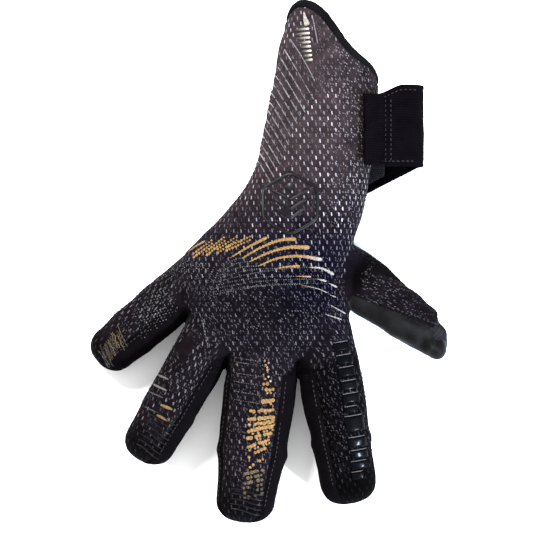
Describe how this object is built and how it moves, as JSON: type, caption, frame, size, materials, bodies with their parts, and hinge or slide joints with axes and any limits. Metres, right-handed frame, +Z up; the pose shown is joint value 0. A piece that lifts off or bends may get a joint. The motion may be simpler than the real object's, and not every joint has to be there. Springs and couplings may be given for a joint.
{
  "type": "goalkeeper glove",
  "caption": "Right-hand goalkeeper glove, filled out as worn: latex palm, knit back, gusseted fingers that bend, long slanted cuff and a side wrist strap that peels open.",
  "frame": {"origin": "centre of the glove's plan box, on the surface that it lies on, palm down", "axes": "+Z up out of the back of the hand, -Y towards the fingertips and +Y towards the cuff mouth, +X towards the thumb"},
  "size_m": [0.1997, 0.2919, 0.0497],
  "materials": {
    "back_fabric": "engineered knit over foam with short raised light dashes",
    "cuff_fabric": "close knit, plum black, fine light dashes and glossy ridges",
    "gusset_fabric": "plain matt stretch fabric",
    "palm_latex": "smooth latex foam, matt with a soft sheen",
    "binding": "rolled matt tape",
    "strap": "woven elastic, matt",
    "hook_tape": "fine moulded hooks",
    "loop_tape": "brushed loops",
    "silicone": "glossy black silicone blocks",
    "emblem": "satin raised rubber",
    "gold_print": "raised metallic gold print",
    "thread": "dark polyester thread",
    "lining": "soft brushed knit"
  },
  "bodies": {
    "hand": {"back_emblem": "emblem", "hand_back": "back_fabric", "hand_palm": "palm_latex"},
    "cuff": {"cuff_back": "cuff_fabric", "cuff_binding": "binding", "cuff_palm": "cuff_fabric", "strap_anchor": "strap", "strap_loop_tape": "loop_tape"},
    "strap": {"strap_flap": "strap", "strap_hook_tape": "hook_tape"},
    "index_distal": {"index_distal_back": "back_fabric", "index_distal_little_side": "gusset_fabric", "index_distal_palm": "palm_latex", "index_distal_thumb_side": "gusset_fabric", "index_grip_distal": "silicone"},
    "index_proximal": {"index_grip_proximal": "silicone", "index_proximal_back": "back_fabric", "index_proximal_little_side": "gusset_fabric", "index_proximal_palm": "palm_latex", "index_proximal_thumb_side": "gusset_fabric"},
    "middle_distal": {"middle_distal_back": "back_fabric", "middle_distal_little_side": "gusset_fabric", "middle_distal_palm": "palm_latex", "middle_distal_thumb_side": "gusset_fabric"},
    "middle_proximal": {"middle_proximal_back": "back_fabric", "middle_proximal_little_side": "gusset_fabric", "middle_proximal_palm": "palm_latex", "middle_proximal_thumb_side": "gusset_fabric"},
    "pinky_distal": {"pinky_distal_back": "back_fabric", "pinky_distal_little_side": "gusset_fabric", "pinky_distal_palm": "palm_latex", "pinky_distal_thumb_side": "gusset_fabric"},
    "pinky_proximal": {"pinky_proximal_back": "back_fabric", "pinky_proximal_little_side": "gusset_fabric", "pinky_proximal_palm": "palm_latex", "pinky_proximal_thumb_side": "gusset_fabric"},
    "ring_distal": {"ring_distal_back": "back_fabric", "ring_distal_little_side": "gusset_fabric", "ring_distal_palm": "palm_latex", "ring_distal_thumb_side": "gusset_fabric"},
    "ring_proximal": {"ring_proximal_back": "back_fabric", "ring_proximal_little_side": "gusset_fabric", "ring_proximal_palm": "palm_latex", "ring_proximal_thumb_side": "gusset_fabric"},
    "thumb_distal": {"thumb_distal_back": "back_fabric", "thumb_distal_palm": "palm_latex"},
    "thumb_proximal": {"thumb_proximal_back": "back_fabric", "thumb_proximal_palm": "palm_latex"}
  },
  "joints": [
    {"name": "wrist_bend", "type": "hinge", "parent": "hand", "child": "cuff", "pos_m": [0.021, 0.0515, 0.024], "axis": [1, 0, 0], "range_deg": [-20, 20], "stiffness_Nm_per_rad": 1.2},
    {"name": "strap_peel", "type": "hinge", "parent": "cuff", "child": "strap", "pos_m": [0.0842, 0.0765, 0.0225], "axis": [0, -1, 0], "range_deg": [0, 110]},
    {"name": "pinky_knuckle", "type": "hinge", "parent": "hand", "child": "pinky_proximal", "pos_m": [-0.0581, -0.0218, 0.0205], "axis": [0.6746, -0.7382, 0], "range_deg": [0, 50], "stiffness_Nm_per_rad": 0.3},
    {"name": "pinky_middle_bend", "type": "hinge", "parent": "pinky_proximal", "child": "pinky_distal", "pos_m": [-0.0761, -0.03825, 0.01622], "axis": [0.6746, -0.7382, 0], "range_deg": [0, 60], "stiffness_Nm_per_rad": 0.15},
    {"name": "ring_knuckle", "type": "hinge", "parent": "hand", "child": "ring_proximal", "pos_m": [-0.0403, -0.0515, 0.024], "axis": [0.8855, -0.4646, 0], "range_deg": [0, 50], "stiffness_Nm_per_rad": 0.3},
    {"name": "ring_middle_bend", "type": "hinge", "parent": "ring_proximal", "child": "ring_distal", "pos_m": [-0.05625, -0.0819, 0.0182], "axis": [0.8855, -0.4646, 0], "range_deg": [0, 60], "stiffness_Nm_per_rad": 0.15},
    {"name": "middle_knuckle", "type": "hinge", "parent": "hand", "child": "middle_proximal", "pos_m": [-0.0057, -0.0623, 0.025], "axis": [0.9944, -0.106, 0], "range_deg": [0, 50], "stiffness_Nm_per_rad": 0.3},
    {"name": "middle_middle_bend", "type": "hinge", "parent": "middle_proximal", "child": "middle_distal", "pos_m": [-0.01015, -0.10405, 0.01931], "axis": [0.9944, -0.106, 0], "range_deg": [0, 60], "stiffness_Nm_per_rad": 0.15},
    {"name": "index_knuckle", "type": "hinge", "parent": "hand", "child": "index_proximal", "pos_m": [0.0321, -0.0612, 0.024], "axis": [0.9883, 0.1525, 0], "range_deg": [0, 50], "stiffness_Nm_per_rad": 0.3},
    {"name": "index_middle_bend", "type": "hinge", "parent": "index_proximal", "child": "index_distal", "pos_m": [0.03767, -0.0973, 0.01871], "axis": [0.9883, 0.1525, 0], "range_deg": [0, 60], "stiffness_Nm_per_rad": 0.15},
    {"name": "thumb_knuckle", "type": "hinge", "parent": "hand", "child": "thumb_proximal", "pos_m": [0.0506, -0.0118, 0.0205], "axis": [0.579, 0.8154, 0], "range_deg": [0, 35], "stiffness_Nm_per_rad": 0.3},
    {"name": "thumb_middle_bend", "type": "hinge", "parent": "thumb_proximal", "child": "thumb_distal", "pos_m": [0.07345, -0.02802, 0.01681], "axis": [0.579, 0.8154, 0], "range_deg": [0, 50], "stiffness_Nm_per_rad": 0.15}
  ]
}
